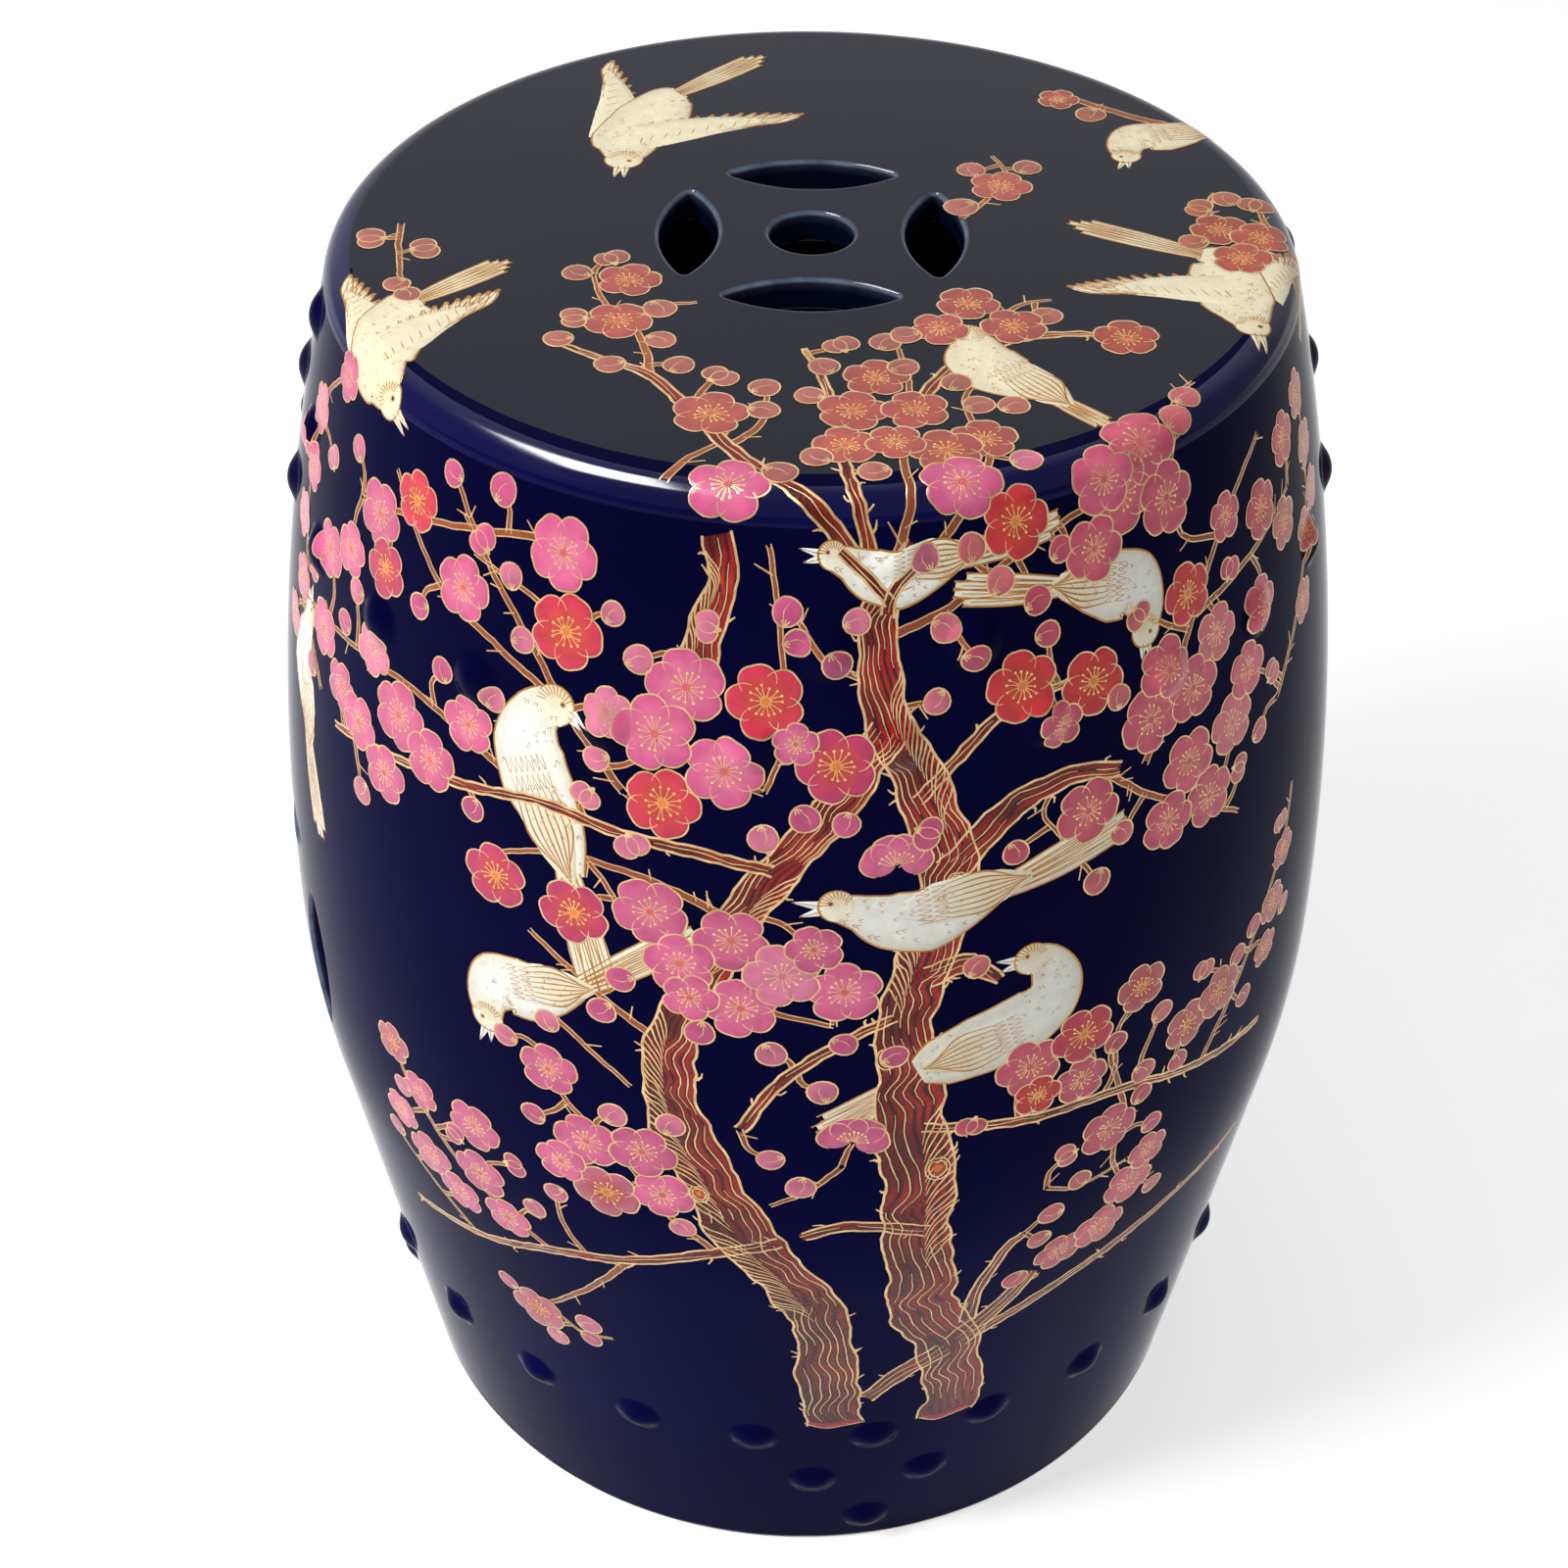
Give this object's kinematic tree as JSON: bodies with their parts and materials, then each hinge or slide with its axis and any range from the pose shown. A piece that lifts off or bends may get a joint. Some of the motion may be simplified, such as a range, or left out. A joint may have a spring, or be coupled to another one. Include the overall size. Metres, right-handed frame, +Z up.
{
  "type": "ceramic garden stool",
  "caption": "Drum-shaped hollow ceramic garden stool with an open base, a flat pierced seat, side hand openings and rows of nail-head bosses.",
  "frame": {"origin": "centre of the drum's axis on the floor plane that the foot stands on", "axes": "+Z up along the drum's axis, -Y towards the front with its pendant bosses, +X and -X through the two side hand openings"},
  "size_m": [0.3628, 0.363, 0.46],
  "materials": {
    "glazed_wall": "high gloss cobalt glaze with enamel and gilt decoration",
    "glazed_seat": "high gloss cobalt glaze with enamel and gilt decoration",
    "glazed_boss": "high gloss cobalt glaze",
    "bare_clay": "matt fired clay",
    "foot_clay": "matt fired clay, wiped free of glaze"
  },
  "bodies": {
    "root": {"barrel_wall": "glazed_wall", "seat_slab": "glazed_seat", "joint_coil": "bare_clay", "foot_ring": "foot_clay", "upper_boss_row": "glazed_boss", "lower_boss_row": "glazed_boss", "upper_pendant_bosses": "glazed_boss", "lower_pendant_bosses": "glazed_boss"}
  },
  "joints": []
}
